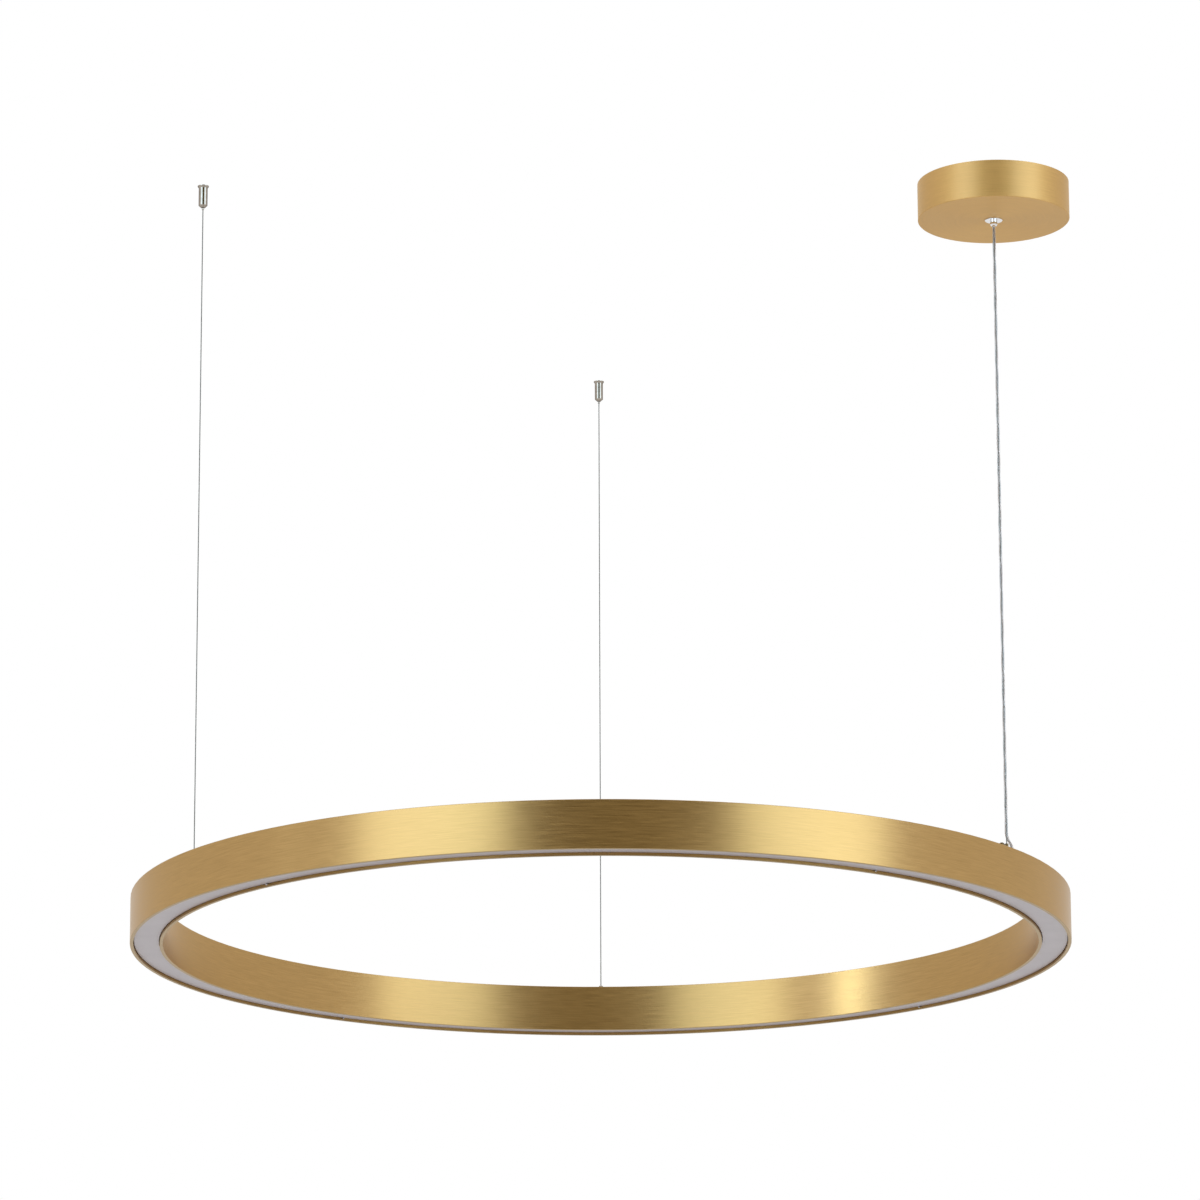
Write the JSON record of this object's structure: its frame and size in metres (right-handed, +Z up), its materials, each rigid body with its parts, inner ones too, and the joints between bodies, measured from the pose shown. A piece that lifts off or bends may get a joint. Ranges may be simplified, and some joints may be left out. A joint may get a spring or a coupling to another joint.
{
  "type": "led ring chandelier",
  "caption": "Ring-shaped LED pendant light with a brushed golden channel, an opal diffuser underneath, steel suspension cables in chrome grippers, and a drum canopy with a clear power cord.",
  "frame": {"origin": "centre of the canopy on the ceiling plane", "axes": "+Z up to the ceiling, +X to the right and +Y away from the viewer, in the picture's view"},
  "size_m": [0.9998, 0.9999, 0.775],
  "materials": {
    "ring_metal": "brushed along the ring and anodised golden brass",
    "canopy_metal": "satin brushed, anodised golden brass",
    "opal_plastic": "opal, satin",
    "steel_pin": "plain",
    "tray_metal": "mill",
    "board_white": "white solder mask with yellow LED packages",
    "zinc_steel": "zinc plated",
    "chrome": "polished",
    "dark_brass": "dark burnished",
    "cable_steel": "stranded wire",
    "spring_steel": "bright",
    "clear_pvc": "clear, with conductors showing",
    "black_rubber": "matt",
    "driver_case": "white",
    "terminal_plastic": "translucent white"
  },
  "bodies": {
    "ceiling_side": {"ceiling_plate": "zinc_steel", "canopy_cup": "canopy_metal", "canopy_screws": "zinc_steel", "mains_grommet": "black_rubber", "driver": "driver_case", "driver_screws": "zinc_steel", "terminal_block": "terminal_plastic", "canopy_gland": "chrome", "gland_nut": "zinc_steel", "canopy_spring": "spring_steel", "canopy_spring_cap": "chrome", "canopy_lead": "clear_pvc", "power_cord": "clear_pvc", "left_cable": "cable_steel", "far_cable": "cable_steel", "right_cable": "cable_steel", "left_gripper_base": "chrome", "left_gripper_barrel": "chrome", "left_gripper_spring": "spring_steel", "far_gripper_base": "chrome", "far_gripper_barrel": "chrome", "far_gripper_spring": "spring_steel"},
    "ring": {"ring_housing": "ring_metal", "diffuser": "opal_plastic", "diffuser_pins": "steel_pin", "led_tray_1": "tray_metal", "led_tray_2": "tray_metal", "led_tray_3": "tray_metal", "led_board_1": "board_white", "led_board_2": "board_white", "led_board_3": "board_white", "led_board_4": "board_white", "led_board_5": "board_white", "led_board_6": "board_white", "tray_screws": "zinc_steel", "left_ring_fitting": "chrome", "far_ring_fitting": "chrome", "right_ring_fitting": "dark_brass", "ring_washers": "zinc_steel", "ring_nuts": "zinc_steel", "cable_stops": "cable_steel", "anchor_plate": "zinc_steel", "dome_stud": "dark_brass", "dome_stud_nut": "zinc_steel", "cord_bush": "clear_pvc", "ring_connector": "terminal_plastic", "ring_lead": "clear_pvc"},
    "left_gripper_release": {"left_release": "chrome", "left_gripper_balls": "spring_steel"},
    "far_gripper_release": {"far_release": "chrome", "far_gripper_balls": "spring_steel"},
    "canopy_release": {"canopy_collet": "chrome"}
  },
  "joints": [
    {"name": "ring_height", "type": "slide", "parent": "ceiling_side", "child": "ring", "axis": [0, 0, 1], "range_m": [0, 0.3], "deforming": ["left_cable", "far_cable", "right_cable", "power_cord"]},
    {"name": "left_release_press", "type": "slide", "parent": "ceiling_side", "child": "left_gripper_release", "axis": [0, 0, 1], "range_m": [0, 0.0012], "stiffness_N_per_m": 800, "springref_m": -0.001, "deforming": ["left_gripper_spring"]},
    {"name": "far_release_press", "type": "slide", "parent": "ceiling_side", "child": "far_gripper_release", "axis": [0, 0, 1], "range_m": [0, 0.0012], "stiffness_N_per_m": 800, "springref_m": -0.001, "deforming": ["far_gripper_spring"]},
    {"name": "canopy_release_press", "type": "slide", "parent": "ceiling_side", "child": "canopy_release", "axis": [0, 0, 1], "range_m": [0, 0.0012], "stiffness_N_per_m": 800, "springref_m": -0.001, "deforming": ["canopy_spring"]}
  ]
}
